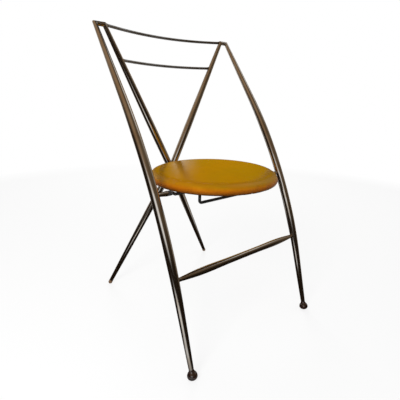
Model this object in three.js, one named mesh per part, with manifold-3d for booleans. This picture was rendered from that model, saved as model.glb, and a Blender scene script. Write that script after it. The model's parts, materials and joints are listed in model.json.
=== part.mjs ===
// A folding chair with a round padded seat. Two bowed front legs and a crossed pair of rear tubes
// meet on one hinge line at the top of the back. The seat turns on a bracket at the crossing and
// rests in front on a thin rod between the front legs, whose middle hangs down as a hand grip.
// Millimetres, +Z up, the front faces -Y. Depths are measured back from the front feet and heights
// from the floor; the finished group is then centred on its footprint.
import * as THREE from 'three';
import { mergeVertices } from 'three/addons/utils/BufferGeometryUtils.js';
import Module from 'manifold-3d';

const wasm = await Module();
wasm.setup();

// Clearances: between pieces that are welded, glued or pressed together, and between turning ones
const fixedGap = 0.3;
const runningGap = 0.3;
const cutOverrun = 20;

// Round seat: a board and a padded cover around it
const seatBottomHeight = 425.5;
const seatRadius = 185;
const seatEdgeHeight = 25.6;
const seatLowerRound = 8.4;
const seatUpperRound = 16.8;
const seatCrown = 4;
const boardInset = 19;
const boardThickness = 10;

// Hinge line at the top of the back
const hingeHeight = 833;
const hingeDepth = 439;
const hingeOffset = 25.5;
const framePinRadius = 3;
const framePinLength = 21;
const frameWasherThickness = 1;

// Front legs: a straight foot length, a long bend at the knee, a straight upper length.
// They stand wider than the seat by the side gap at the knee.
const legSideGap = 46;
const legTopSpread = 3;
const legFootNarrowing = 4;
const kneeDepth = 134;
const kneeHeight = 441;
const kneeTangentLength = 272;
const legMidRadius = 11.4;
const legTopRadius = 5.9;
const legFootRadius = 6;
const legTopTaper = 345;
const legFootTaper = 290;

// Ball feet under the front legs, flatter below than above, each worn flat where it stands
const footRadius = 13;
const footLowerLength = 10;
const footUpperLength = 13;
const footFlatDepth = 0.4;
const footNeckLength = 17;

// Rear tubes: two crossed tubes, bent backward at the crossing just under the seat
const crossingDrop = 12.5;
const crossingLean = 3;
const crossingBendLength = 14;
const rearFootNarrowing = 9;
const rearFootSplay = 76;
const rearMidRadius = 11.2;
const rearTopRadius = 5.9;
const rearFootRadius = 6.1;
const rearTopTaper = 310;
const rearFootTaper = 345;
const rearEndChamfer = 4;
const seatBackGap = 29.8;

// Plugs in the rear feet: a round head, worn flat where it stands, and a stem inside the tube
const plugRadius = 6.7;
const plugFlatDepth = 0.6;
const plugHeadLength = 7;
const plugStemRadius = 4.3;
const plugStemLength = 10;

// Rods of the backrest
const railRadius = 3.9;
const railSpacing = 84.5;
const topRailBow = 32.3;
const topRailDrop = 5.3;
const secondRailBow = 21.8;
const secondRailDrop = 3.7;

// Spindle between the front legs
const stretcherHeight = 235.5;
const stretcherMidRadius = 8.6;
const stretcherEndRadius = 4.6;
const stretcherTaper = 78;

// Rod under the seat, the stubs on the legs that hold it, and a bush on it beside each stub
const rodRadius = 4.1;
const rodStubRise = 5.3;
const rodStubDepth = 9;
const bushRadius = 6.6;
const bushLength = 12.5;
const bushChamfer = 0.8;
const rodSlopeLength = 9;
const rodSlopeBendLength = 2;
const rodBowInset = 91;
const rodBowDrop = 38;
const rodBowBendLength = 7;
const stubLength = 23.5;
const stubRootRadius = 4.7;
const stubEndRadius = 7;

// Blocks under the board that keep the rod from moving forward
const keeperInset = 14;
const keeperWidth = 20;
const keeperDepth = 24;
const keeperHeight = 8;
const keeperChamfer = 1.2;

// Seat hinge: a strap with a knuckle under the board, and two lugs on the crossing
const seatPinInset = 12;
const seatPinRadius = 2.5;
const seatPinHeadRadius = 4.3;
const seatPinHeadThickness = 1.8;
const knuckleRadius = 4.8;
const strapWidth = 24;
const strapLength = 92;
const strapThickness = 2.5;
const strapScrewPitch = 26;
const strapScrewCount = 3;
const lugThickness = 4;
const lugEyeRadius = 6.5;
const lugArmHeight = 13;
const lugRimClearance = 4;

// Screws under the board
const screwRadius = 1.8;
const screwHeadRadius = 3.7;
const screwHeadHeight = 2.2;
const screwBite = 8;

// Facets around the round pieces, and the angle between the rings of a bend
const tubeSides = 20;
const rodSides = 12;
const boreSides = 20;
const footSides = 20;
const seatSides = 60;
const tubeBendStep = THREE.MathUtils.degToRad(1.5);
const rodBendStep = THREE.MathUtils.degToRad(18);

// How a tube swells along its taper, and how a foot's neck narrows to the leg
const taperEaseShare = 0.28;
const neckShares = [0.3, 0.65];
const neckAngle = THREE.MathUtils.degToRad(42);
const crownShares = [0.88, 0.66, 0.4, 0];

const xAxis = new THREE.Vector3(1, 0, 0);
const yAxis = new THREE.Vector3(0, 1, 0);
const zAxis = new THREE.Vector3(0, 0, 1);
const mergeTolerance = 1e-4;

const point = (x, y, z) => new THREE.Vector3(x, y, z);

// Solids are joined and cut as closed position-only meshes.
function toSolid(geometry) {
  const bare = geometry.clone();
  for (const name of Object.keys(bare.attributes)) {
    if (name !== 'position') bare.deleteAttribute(name);
  }
  const merged = mergeVertices(bare, mergeTolerance);
  return new wasm.Manifold(new wasm.Mesh({
    numProp: 3,
    vertProperties: new Float32Array(merged.attributes.position.array),
    triVerts: new Uint32Array(merged.index.array),
  }));
}

function fromSolid(solid) {
  const mesh = solid.getMesh();
  const geometry = new THREE.BufferGeometry();
  geometry.setAttribute('position', new THREE.BufferAttribute(new Float32Array(mesh.vertProperties), 3));
  geometry.setIndex(new THREE.BufferAttribute(new Uint32Array(mesh.triVerts), 1));
  geometry.computeVertexNormals();
  return geometry;
}

function cut(geometry, ...tools) {
  return fromSolid(tools.reduce((solid, tool) => solid.subtract(toSolid(tool)), toSolid(geometry)));
}

function join(geometry, ...others) {
  return fromSolid(others.reduce((solid, other) => solid.add(toSolid(other)), toSolid(geometry)));
}

// Walks along the corners and rounds each inner one with an arc that starts a tangent length before it.
function roundedPath(corners, tangentLengths, bendStep) {
  const path = [corners[0].clone()];
  tangentLengths.forEach((tangentLength, i) => {
    const corner = corners[i + 1];
    const back = corners[i].clone().sub(corner).normalize();
    const ahead = corners[i + 2].clone().sub(corner).normalize();
    const turn = Math.PI - back.angleTo(ahead);
    const inward = back.clone().add(ahead).normalize();
    const centre = corner.clone().addScaledVector(inward, tangentLength / Math.sin(turn / 2));
    const start = corner.clone().addScaledVector(back, tangentLength).sub(centre);
    const axis = ahead.clone().cross(back).normalize();
    const steps = Math.ceil(turn / bendStep);
    for (let k = 0; k <= steps; k += 1) {
      path.push(start.clone().applyAxisAngle(axis, turn * k / steps).add(centre));
    }
  });
  path.push(corners[corners.length - 1].clone());
  return path;
}

// Adds points so that no step along the path is longer than the given length.
function subdivided(path, longestStep) {
  const points = [path[0]];
  for (let i = 1; i < path.length; i += 1) {
    const count = Math.ceil(path[i].distanceTo(path[i - 1]) / longestStep);
    for (let k = 1; k <= count; k += 1) {
      points.push(path[i - 1].clone().lerp(path[i], k / count));
    }
  }
  return points;
}

// Length along the path up to each of its points.
function runLengths(path) {
  const lengths = [0];
  for (let i = 1; i < path.length; i += 1) {
    lengths.push(lengths[i - 1] + path[i].distanceTo(path[i - 1]));
  }
  return lengths;
}

// The directions across and along the path at each of its points, turned as little as possible
// from one to the next, and the normal of the plane that halves the bend there.
function pathFrames(path) {
  const last = path.length - 1;
  let along = path[1].clone().sub(path[0]).normalize();
  const start = Math.abs(along.x) < Math.abs(along.z) ? xAxis : zAxis;
  const across = start.clone().addScaledVector(along, -start.dot(along)).normalize();
  return path.map((place, i) => {
    const next = i < last ? path[i + 1].clone().sub(place).normalize() : along.clone();
    const frame = {
      along,
      across: across.clone(),
      side: across.clone().cross(along),
      normal: along.clone().add(next).normalize(),
    };
    across.applyQuaternion(new THREE.Quaternion().setFromUnitVectors(along, next));
    along = next;
    return frame;
  });
}

// A round tube with closed ends: a turned bar whose rings are carried onto the path's points, each
// mitred in the plane that halves the bend there.
function tubeAlong(path, radii, sideCount) {
  const rings = radii.map((radius, ring) => new THREE.Vector2(radius, ring));
  const outline = [new THREE.Vector2(0, 0), ...rings, new THREE.Vector2(0, rings.length - 1)];
  const geometry = new THREE.LatheGeometry(outline, sideCount);
  const positions = geometry.attributes.position;
  const frames = pathFrames(path);
  for (let i = 0; i < positions.count; i += 1) {
    const ring = Math.round(positions.getY(i));
    const { along, across, side, normal } = frames[ring];
    const place = across.clone().multiplyScalar(positions.getX(i));
    place.addScaledVector(side, positions.getZ(i));
    place.addScaledVector(along, -place.dot(normal) / along.dot(normal));
    place.add(path[ring]);
    positions.setXYZ(i, place.x, place.y, place.z);
  }
  geometry.computeVertexNormals();
  return geometry;
}

// A solid of revolution. The outline lists [radius, distance along the axis]; the axis starts at
// the origin point and runs along the given direction.
function turned(outline, sideCount, origin, direction) {
  const profile = outline.map(([radius, distance]) => new THREE.Vector2(radius, distance));
  const geometry = new THREE.LatheGeometry(profile, sideCount);
  geometry.applyQuaternion(new THREE.Quaternion().setFromUnitVectors(yAxis, direction));
  geometry.translate(origin.x, origin.y, origin.z);
  return geometry;
}

// A plain round bar between two points.
function bar(from, to, radius, sideCount) {
  const direction = to.clone().sub(from);
  const length = direction.length();
  const outline = [[0, 0], [radius, 0], [radius, length], [0, length]];
  return turned(outline, sideCount, from, direction.normalize());
}

// A block with the given lengths across, back and up, centred on a place.
function block(width, depth, height, place) {
  return new THREE.BoxGeometry(width, depth, height).translate(place.x, place.y, place.z);
}

// A flat plate whose outline is drawn in depth and height, extruded across the chair from x.
function sidePlate(shape, x, thickness) {
  const geometry = new THREE.ExtrudeGeometry(shape, { depth: thickness, bevelEnabled: false });
  geometry.applyMatrix4(new THREE.Matrix4().makeBasis(yAxis, zAxis, xAxis));
  geometry.translate(x, 0, 0);
  return geometry;
}

// Radius of a tube that swells from its end over the taper length and then stays full.
function taperedRadius(distance, taper, endRadius, fullRadius) {
  const share = THREE.MathUtils.clamp(distance / taper, 0, 1);
  const eased = share * (1 + taperEaseShare * (1 - share));
  return THREE.MathUtils.lerp(endRadius, fullRadius, eased);
}

const chrome = { color: 0x8d8579, roughness: 0.22, metalness: 1 };
const blackSteel = { color: 0x121212, roughness: 0.45, metalness: 0.4 };
const yellowLeather = { color: 0xb98306, roughness: 0.42, metalness: 0 };
const brownPlastic = { color: 0x1d100b, roughness: 0.2, metalness: 0 };
const tanPlastic = { color: 0x6b4c2e, roughness: 0.45, metalness: 0 };
const blackPlastic = { color: 0x161616, roughness: 0.6, metalness: 0 };
const darkBoard = { color: 0x2b2018, roughness: 0.8, metalness: 0 };
const zincSteel = { color: 0xa6a6a2, roughness: 0.4, metalness: 1 };

const chair = new THREE.Group();

function addPiece(name, geometry, look) {
  const mesh = new THREE.Mesh(geometry, new THREE.MeshStandardMaterial(look));
  mesh.name = name;
  chair.add(mesh);
}

const sides = [['left', -1], ['right', 1]];

// Places that the frame is built on. The side is -1 on the left and 1 on the right.
const kneeHalfWidth = seatRadius + legSideGap;
const legTopHalfWidth = kneeHalfWidth + legTopSpread;
const footHalfWidth = kneeHalfWidth - legFootNarrowing;
const rearTopHalfWidth = legTopHalfWidth - hingeOffset;
const rearFootHalfWidth = kneeHalfWidth - rearFootNarrowing;
const footBallHeight = footLowerLength - footFlatDepth;
const crossing = point(0, hingeDepth - crossingLean, seatBottomHeight - crossingDrop);
const legFoot = (side) => point(side * footHalfWidth, 0, footBallHeight);
const legKnee = (side) => point(side * kneeHalfWidth, kneeDepth, kneeHeight);
const legTop = (side) => point(side * legTopHalfWidth, hingeDepth, hingeHeight);
const rearTop = (side) => point(side * rearTopHalfWidth, hingeDepth, hingeHeight);
const rearFoot = (side) => point(side * rearFootHalfWidth, crossing.y + rearFootSplay, 0);
const legFootDirection = (side) => legKnee(side).sub(legFoot(side)).normalize();
const rearFootDirection = (side) => crossing.clone().sub(rearFoot(side)).normalize();

// The hinge line runs through the ends of the two frames. Their facing ends stop beside a washer
// in the middle of the hinge, and a pin joins them.
const jointHalfWidth = legTopHalfWidth - hingeOffset / 2;
const jointGap = frameWasherThickness / 2 + runningGap;

const hingePoint = (x) => point(x, hingeDepth, hingeHeight);

function hingeBar(side, halfLength, radius) {
  const middle = side * jointHalfWidth;
  return bar(hingePoint(middle - halfLength), hingePoint(middle + halfLength), radius, boreSides);
}

const pinBore = (side) => hingeBar(side, framePinLength / 2 + fixedGap, framePinRadius + runningGap);

for (const [name, side] of sides) {
  addPiece(`frame_pin_${name}`, hingeBar(side, framePinLength / 2, framePinRadius), zincSteel);
  const innerRadius = framePinRadius + runningGap;
  const washer = turned([
    [innerRadius, 0],
    [legTopRadius, 0],
    [legTopRadius, frameWasherThickness],
    [innerRadius, frameWasherThickness],
    [innerRadius, 0],
  ], boreSides, hingePoint(side * jointHalfWidth - frameWasherThickness / 2), xAxis);
  addPiece(`frame_washer_${name}`, washer, blackPlastic);
}

// Front legs. Each runs from just above its foot to the hinge line and there turns inward.
const legCurve = (side) => roundedPath(
  [legFoot(side), legKnee(side), legTop(side)],
  [kneeTangentLength],
  tubeBendStep,
);

function legTube(side, extraRadius) {
  const curve = legCurve(side);
  curve[0].addScaledVector(legFootDirection(side), footNeckLength + fixedGap);
  const path = subdivided(curve, legMidRadius * 4);
  const lengths = runLengths(path);
  const total = lengths[lengths.length - 1];
  const radii = lengths.map((length) => extraRadius + Math.min(
    taperedRadius(length, legFootTaper, legFootRadius, legMidRadius),
    taperedRadius(total - length, legTopTaper, legTopRadius, legMidRadius),
  ));
  path.push(hingePoint(side * (jointHalfWidth + jointGap)));
  radii.push(extraRadius + legTopRadius);
  return tubeAlong(path, radii, tubeSides);
}

// Point of a leg's centre line at a given height.
function legAt(side, height) {
  const curve = legCurve(side);
  const above = curve.findIndex((place) => place.z > height);
  const share = (height - curve[above - 1].z) / (curve[above].z - curve[above - 1].z);
  return curve[above - 1].clone().lerp(curve[above], share);
}

for (const [name, side] of sides) {
  addPiece(`front_leg_${name}`, cut(legTube(side, 0), pinBore(side)), chrome);
}
const legTools = sides.map(([, side]) => legTube(side, fixedGap));

// Ball feet: the neck narrows to the end of the leg and the ball is cut flat on the floor.
const ballRings = 10;
for (const [name, side] of sides) {
  const outline = [[0, -footLowerLength]];
  for (let k = 1; k <= ballRings; k += 1) {
    const angle = THREE.MathUtils.lerp(Math.PI, neckAngle, k / ballRings);
    const halfLength = Math.cos(angle) < 0 ? footLowerLength : footUpperLength;
    outline.push([footRadius * Math.sin(angle), halfLength * Math.cos(angle)]);
  }
  const [neckRadius, neckStart] = outline[ballRings];
  for (const share of neckShares) {
    outline.push([
      THREE.MathUtils.lerp(neckRadius, legFootRadius, Math.sin(share * Math.PI / 2)),
      THREE.MathUtils.lerp(neckStart, footNeckLength, share),
    ]);
  }
  outline.push([legFootRadius, footNeckLength], [0, footNeckLength]);
  const ball = turned(outline, footSides, legFoot(side), legFootDirection(side));
  const size = footRadius * 4;
  const floor = block(size, size, size, point(legFoot(side).x, legFoot(side).y, -size / 2));
  addPiece(`front_foot_${name}`, cut(ball, floor), brownPlastic);
}

// Spindle between the legs, coped to them
const stretcherEnd = legAt(1, stretcherHeight);
const stretcherPath = subdivided(
  [point(-stretcherEnd.x, stretcherEnd.y, stretcherEnd.z), stretcherEnd],
  stretcherEndRadius * 3,
);
const stretcherRadii = stretcherPath.map((place) => {
  const distance = stretcherEnd.x - legMidRadius - Math.abs(place.x);
  const share = THREE.MathUtils.clamp(distance / stretcherTaper, 0, 1);
  return THREE.MathUtils.lerp(stretcherEndRadius, stretcherMidRadius, Math.sin(share * Math.PI / 2));
});
addPiece('stretcher', cut(tubeAlong(stretcherPath, stretcherRadii, tubeSides), ...legTools), chrome);

// Rear frame. The long tube runs from the left top corner to the right foot; the other one is two
// halves coped to the long one at the crossing. Each foot end is bored for its plug.
function plugPoint(side, distance) {
  const direction = rearFootDirection(side);
  const middle = rearFoot(side).addScaledVector(direction, (plugRadius - plugFlatDepth) / direction.z);
  return middle.addScaledVector(direction, distance);
}

const rearTubeEnd = (side) => plugPoint(side, plugHeadLength + fixedGap);
const plugBore = (side) => bar(
  plugPoint(side, 0),
  plugPoint(side, plugHeadLength + plugStemLength + fixedGap),
  plugStemRadius + fixedGap,
  boreSides,
);

function rearRadius(place) {
  const side = place.x < 0 ? -1 : 1;
  return place.z > crossing.z
    ? taperedRadius(rearTop(side).distanceTo(place), rearTopTaper, rearTopRadius, rearMidRadius)
    : taperedRadius(rearFoot(side).distanceTo(place), rearFootTaper, rearFootRadius, rearMidRadius);
}

function longRearTube(extraRadius) {
  const curve = roundedPath([rearTop(-1), crossing, rearTubeEnd(1)], [crossingBendLength], tubeBendStep * 2);
  const path = subdivided(curve, rearMidRadius * 4);
  const radii = path.map((place) => extraRadius + rearRadius(place));
  path.unshift(hingePoint(-(jointHalfWidth - jointGap)));
  radii.unshift(extraRadius + rearTopRadius);
  return tubeAlong(path, radii, tubeSides);
}

// Half of the other tube, from its outer end to the crossing, where it closes to a blunt cone.
function rearHalfTube(outerEnd, extraRadius, elbow) {
  const outward = outerEnd.clone().sub(crossing).normalize();
  const taperStart = crossing.clone().addScaledVector(outward, rearEndChamfer);
  const path = subdivided([outerEnd, taperStart], rearMidRadius * 4);
  const radii = path.map((place) => extraRadius + rearRadius(place));
  path.push(crossing.clone());
  radii.push(radii[radii.length - 1] - rearEndChamfer);
  if (elbow) {
    path.unshift(elbow);
    radii.unshift(radii[0]);
  }
  return tubeAlong(path, radii, tubeSides);
}

const upperElbow = hingePoint(jointHalfWidth - jointGap);
const upperHalf = (extraRadius) => rearHalfTube(rearTop(1), extraRadius, upperElbow);
const lowerHalf = (extraRadius) => rearHalfTube(rearTubeEnd(-1), extraRadius);
const longTool = longRearTube(fixedGap);
addPiece('rear_tube_long', cut(longRearTube(0), pinBore(-1), plugBore(1)), chrome);
addPiece('rear_tube_upper', cut(upperHalf(0), longTool, pinBore(1)), chrome);
addPiece('rear_tube_lower', cut(lowerHalf(0), longTool, plugBore(-1)), chrome);
const rearTools = [longTool, upperHalf(fixedGap), lowerHalf(fixedGap)];

// Plugs in the rear feet, cut level with the floor
const plugRings = 6;
for (const [name, side] of sides) {
  const outline = [[0, -plugRadius]];
  for (let k = 1; k <= plugRings; k += 1) {
    const angle = k / plugRings * Math.PI / 2;
    outline.push([plugRadius * Math.sin(angle), -plugRadius * Math.cos(angle)]);
  }
  outline.push(
    [plugRadius, plugHeadLength],
    [plugStemRadius, plugHeadLength],
    [plugStemRadius, plugHeadLength + plugStemLength],
    [0, plugHeadLength + plugStemLength],
  );
  const plug = turned(outline, tubeSides, plugPoint(side, 0), rearFootDirection(side));
  const size = plugRadius * 4;
  const floor = block(size, size, size, point(plugPoint(side, 0).x, plugPoint(side, 0).y, -size / 2));
  addPiece(`rear_plug_${name}`, cut(plug, floor), tanPlastic);
}

// Backrest rods: each bows back and slightly down between the tubes and is coped to them.
const railSteps = 24;
function rail(end, bow, drop) {
  const curve = new THREE.QuadraticBezierCurve3(
    point(-end.x, end.y, end.z),
    point(0, end.y + bow * 2, end.z - drop * 2),
    end,
  );
  const section = new THREE.Shape().absarc(0, 0, railRadius, 0, Math.PI * 2, false);
  const rod = new THREE.ExtrudeGeometry(section, {
    steps: railSteps,
    curveSegments: rodSides / 2,
    extrudePath: curve,
    bevelEnabled: false,
  });
  return cut(rod, ...rearTools);
}

const secondRailEnd = rearTop(1).lerp(crossing, railSpacing / (hingeHeight - crossing.z));
addPiece('top_rail', rail(rearTop(1), topRailBow, topRailDrop), chrome);
addPiece('second_rail', rail(secondRailEnd, secondRailBow, secondRailDrop), chrome);

// Stubs on the legs, which hold the ends of the seat rod
const rodHeight = seatBottomHeight - fixedGap - rodRadius;
const stubHeight = rodHeight + rodStubRise;
const stubRoot = legAt(1, stubHeight);
const stubFace = stubRoot.x - legMidRadius - stubLength;

for (const [name, side] of sides) {
  const stub = turned([
    [0, 0],
    [stubRootRadius, 0],
    [stubRootRadius, legMidRadius],
    [stubEndRadius, legMidRadius + stubLength],
    [0, legMidRadius + stubLength],
  ], tubeSides, point(side * stubRoot.x, stubRoot.y, stubHeight), point(-side, 0, 0));
  const socket = bar(
    point(side * (stubFace - stubLength), stubRoot.y, stubHeight),
    point(side * (stubFace + rodStubDepth), stubRoot.y, stubHeight),
    rodRadius + fixedGap,
    boreSides,
  );
  addPiece(`rod_stub_${name}`, cut(stub, socket, ...legTools), chrome);

  const bush = turned([
    [rodRadius + fixedGap, 0],
    [bushRadius - bushChamfer, 0],
    [bushRadius, bushChamfer],
    [bushRadius, bushLength - bushChamfer],
    [bushRadius - bushChamfer, bushLength],
    [rodRadius + fixedGap, bushLength],
    [rodRadius + fixedGap, 0],
  ], tubeSides, point(side * (stubFace - fixedGap), stubRoot.y, stubHeight), point(-side, 0, 0));
  addPiece(`rod_bush_${name}`, bush, blackPlastic);
}

// Rod under the seat. Past the bushes it slopes down to the board, and its middle hangs as a grip.
const rodSlopeStart = stubFace - fixedGap - bushLength - rodSlopeBendLength;
const rodBowHalfWidth = seatRadius - rodBowInset;
const halfRod = [
  [stubFace + rodStubDepth - fixedGap, stubHeight],
  [rodSlopeStart, stubHeight],
  [rodSlopeStart - rodSlopeLength, rodHeight],
  [rodBowHalfWidth, rodHeight],
  [rodBowHalfWidth, rodHeight - rodBowDrop],
];
const leftRod = halfRod.map(([x, z]) => point(-x, stubRoot.y, z));
const rightRod = halfRod.map(([x, z]) => point(x, stubRoot.y, z)).reverse();
const rodBends = [rodSlopeBendLength, rodSlopeBendLength, rodBowBendLength, rodBowBendLength];
const rodPath = roundedPath([...leftRod, ...rightRod], [...rodBends, ...rodBends.toReversed()], rodBendStep);
addPiece('seat_rod', tubeAlong(rodPath, rodPath.map(() => rodRadius), rodSides), blackSteel);

// Padded cover of the seat: it wraps the board's edge, and its top is crowned.
const boardRadius = seatRadius - boardInset;
const seatCentre = point(0, crossing.y - rearMidRadius - seatBackGap - seatRadius, seatBottomHeight);
const recess = boardThickness + fixedGap;
const lowerRings = 5;
const upperRings = 7;
const padOutline = [
  [0, recess],
  [boardRadius + fixedGap, recess],
  [boardRadius + fixedGap, 0],
];
for (let k = 0; k <= lowerRings; k += 1) {
  const angle = k / lowerRings * Math.PI / 2;
  padOutline.push([
    seatRadius - seatLowerRound * (1 - Math.sin(angle)),
    seatLowerRound * (1 - Math.cos(angle)),
  ]);
}
for (let k = 0; k <= upperRings; k += 1) {
  const angle = k / upperRings * Math.PI / 2;
  padOutline.push([
    seatRadius - seatUpperRound * (1 - Math.cos(angle)),
    seatEdgeHeight - seatUpperRound * (1 - Math.sin(angle)),
  ]);
}
for (const share of crownShares) {
  padOutline.push([
    (seatRadius - seatUpperRound) * share,
    seatEdgeHeight + seatCrown * (1 - share * share),
  ]);
}
addPiece('seat_pad', turned(padOutline, seatSides, seatCentre, zAxis), yellowLeather);

// A pan-headed screw driven upward from the face at the given place, and its hole
function screw(place) {
  return turned([
    [0, -fixedGap - screwHeadHeight],
    [screwHeadRadius / 2, -fixedGap - screwHeadHeight],
    [screwHeadRadius, -fixedGap - screwHeadHeight / 2],
    [screwHeadRadius, -fixedGap],
    [screwRadius, -fixedGap],
    [screwRadius, screwBite],
    [0, screwBite],
  ], rodSides, place, zAxis);
}

function screwHole(place) {
  const below = place.clone().addScaledVector(zAxis, -cutOverrun);
  const above = place.clone().addScaledVector(zAxis, screwBite + fixedGap);
  return bar(below, above, screwRadius + fixedGap, rodSides);
}

// Hinge strap under the board, with its knuckle on the seat pin
const seatPinDepth = seatCentre.y + seatRadius - seatPinInset;
const strapTop = seatBottomHeight - fixedGap;
const strapUnderside = strapTop - strapThickness;
const seatPinHeight = strapUnderside - knuckleRadius;
const seatPinPoint = (x) => point(x, seatPinDepth, seatPinHeight);
const seatPinBar = (from, to, radius) => bar(seatPinPoint(from), seatPinPoint(to), radius, boreSides);

const strapScrews = [];
for (let k = 0; k < strapScrewCount; k += 1) {
  const depth = seatPinDepth - strapLength + strapScrewPitch * (k + 1 / 2);
  strapScrews.push(point(0, depth, strapUnderside));
}
const strapMiddle = point(0, seatPinDepth - strapLength / 2, strapTop - strapThickness / 2);
const strapPlate = block(strapWidth, strapLength, strapThickness, strapMiddle);
const knuckle = seatPinBar(-strapWidth / 2, strapWidth / 2, knuckleRadius + strapThickness / 2);
const aboveStrap = block(
  strapWidth * 2,
  strapLength * 2,
  strapThickness * 2,
  point(0, seatPinDepth, strapTop + strapThickness),
);
const strapBore = seatPinBar(-strapWidth, strapWidth, seatPinRadius + runningGap);
const strap = cut(join(strapPlate, knuckle), aboveStrap, strapBore, ...strapScrews.map(screwHole));
addPiece('hinge_strap', strap, blackSteel);
strapScrews.forEach((place, k) => addPiece(`strap_screw_${k + 1}`, screw(place), zincSteel));

// Keeper blocks just in front of the rod
const keeperBack = stubRoot.y - rodRadius - fixedGap;
const keeperTop = seatBottomHeight - fixedGap;
const keeperBottom = keeperTop - keeperHeight;
const keeperOutline = new THREE.Shape([
  new THREE.Vector2(keeperBack, keeperTop),
  new THREE.Vector2(keeperBack - keeperDepth, keeperTop),
  new THREE.Vector2(keeperBack - keeperDepth, keeperBottom + keeperChamfer),
  new THREE.Vector2(keeperBack - keeperDepth + keeperChamfer, keeperBottom),
  new THREE.Vector2(keeperBack - keeperChamfer, keeperBottom),
  new THREE.Vector2(keeperBack, keeperBottom + keeperChamfer),
]);
const keeperScrew = (side) => point(
  side * (rodBowHalfWidth + keeperInset),
  keeperBack - keeperDepth / 2,
  keeperBottom,
);
for (const [name, side] of sides) {
  const place = keeperScrew(side);
  const keeper = sidePlate(keeperOutline, place.x - keeperWidth / 2, keeperWidth);
  addPiece(`rod_keeper_${name}`, cut(keeper, screwHole(place)), blackPlastic);
  addPiece(`keeper_screw_${name}`, screw(place), zincSteel);
}

// Board inside the cover, drilled for the screws
const boardOutline = [[0, 0], [boardRadius, 0], [boardRadius, boardThickness], [0, boardThickness]];
const board = turned(boardOutline, seatSides, seatCentre, zAxis);
const boardHoles = [...strapScrews, keeperScrew(-1), keeperScrew(1)].map(screwHole);
addPiece('seat_board', cut(board, ...boardHoles), darkBoard);

// Lugs: each stands around the seat pin and reaches back, under the edge of the turned-up seat, to
// the tubes below the crossing.
const armTop = seatPinHeight - seatPinInset - lugRimClearance;
const armBottom = armTop - lugArmHeight;
const lugInside = strapWidth / 2 + runningGap;
const lugOutline = new THREE.Shape()
  .moveTo(seatPinDepth + lugEyeRadius, seatPinHeight)
  .absarc(seatPinDepth, seatPinHeight, lugEyeRadius, 0, Math.PI, false)
  .lineTo(seatPinDepth - lugEyeRadius, armBottom + lugEyeRadius)
  .lineTo(seatPinDepth, armBottom)
  .lineTo(crossing.y, armBottom)
  .lineTo(crossing.y, armTop)
  .lineTo(seatPinDepth + lugEyeRadius, armTop);
for (const [name, side] of sides) {
  const near = side > 0 ? lugInside : -lugInside - lugThickness;
  const plate = sidePlate(lugOutline, near, lugThickness);
  const hole = seatPinBar(near - lugThickness, near + lugThickness * 2, seatPinRadius + fixedGap);
  addPiece(`hinge_lug_${name}`, cut(plate, hole, ...rearTools), chrome);
}

// Seat pin with a head at each end
const pinSpan = lugInside + lugThickness + fixedGap;
const pinEnd = pinSpan + seatPinHeadThickness;
const seatPin = turned([
  [0, -pinEnd],
  [seatPinHeadRadius, -pinEnd],
  [seatPinHeadRadius, -pinSpan],
  [seatPinRadius, -pinSpan],
  [seatPinRadius, pinSpan],
  [seatPinHeadRadius, pinSpan],
  [seatPinHeadRadius, pinEnd],
  [0, pinEnd],
], boreSides, seatPinPoint(0), xAxis);
addPiece('seat_pin', seatPin, zincSteel);

// The origin is on the floor under the middle of the chair's outline.
const bounds = new THREE.Box3().setFromObject(chair);
for (const mesh of chair.children) {
  mesh.position.y = -(bounds.min.y + bounds.max.y) / 2;
}

export default chair;
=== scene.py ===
import json
import math

import bpy
import numpy as np
from mathutils import Matrix, Vector


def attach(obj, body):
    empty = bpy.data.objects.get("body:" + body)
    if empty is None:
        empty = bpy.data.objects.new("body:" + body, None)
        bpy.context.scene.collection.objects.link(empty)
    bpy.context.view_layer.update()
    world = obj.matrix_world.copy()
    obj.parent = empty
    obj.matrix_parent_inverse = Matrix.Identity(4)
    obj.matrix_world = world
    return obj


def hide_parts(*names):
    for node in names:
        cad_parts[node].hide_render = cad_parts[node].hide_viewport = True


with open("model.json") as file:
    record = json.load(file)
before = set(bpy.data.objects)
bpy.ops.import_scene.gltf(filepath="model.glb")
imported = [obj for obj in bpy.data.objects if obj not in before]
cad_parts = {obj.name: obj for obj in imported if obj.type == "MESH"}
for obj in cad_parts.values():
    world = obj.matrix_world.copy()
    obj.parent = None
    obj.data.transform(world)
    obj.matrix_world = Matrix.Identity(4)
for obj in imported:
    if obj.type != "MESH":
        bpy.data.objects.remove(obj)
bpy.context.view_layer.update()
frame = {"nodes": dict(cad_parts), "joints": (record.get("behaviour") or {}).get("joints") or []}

joints = {joint["name"]: joint for joint in frame["joints"]}
sides = {"Left": -1, "Right": 1}

# Lengths are metres. Depths are measured back from the front feet, as on the drawing of the chair,
# and place() moves them into the row's frame.
chair = {
    "hingeDepth": 0.439, "hingeHeight": 0.833, "jointHalfWidth": 0.22125, "jointGap": 0.0008,
    "crossingDepth": 0.436, "crossingHeight": 0.413, "seatBottom": 0.4255, "seatDepth": 0.2100,
}
frontFeetDepth = joints["front_fold"]["pos_m"][1] - chair["hingeDepth"]

def place(across, depth, height):
    return np.array([across, depth + frontFeetDepth, height], dtype=float)

# Shapes

ringPoints = {"tube": 48, "turned": 40, "rod": 28, "cushion": 160, "surround": 144}
sharp = {"tube": 35, "turned": 50, "cushion": 60}  # degrees between faces from which an edge shows
softEdge = {"tube": (0.0007, 3), "rod": (0.0005, 2), "angle": 30}  # width and segments, from this angle
taperBelly = 0.28
filletFade = 0.0012
upright = np.array([0, 0, 1.0])
backward = np.array([0, 1.0, 0])

def unit(vectors):
    return vectors / np.linalg.norm(vectors, axis=-1, keepdims=True)

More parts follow.
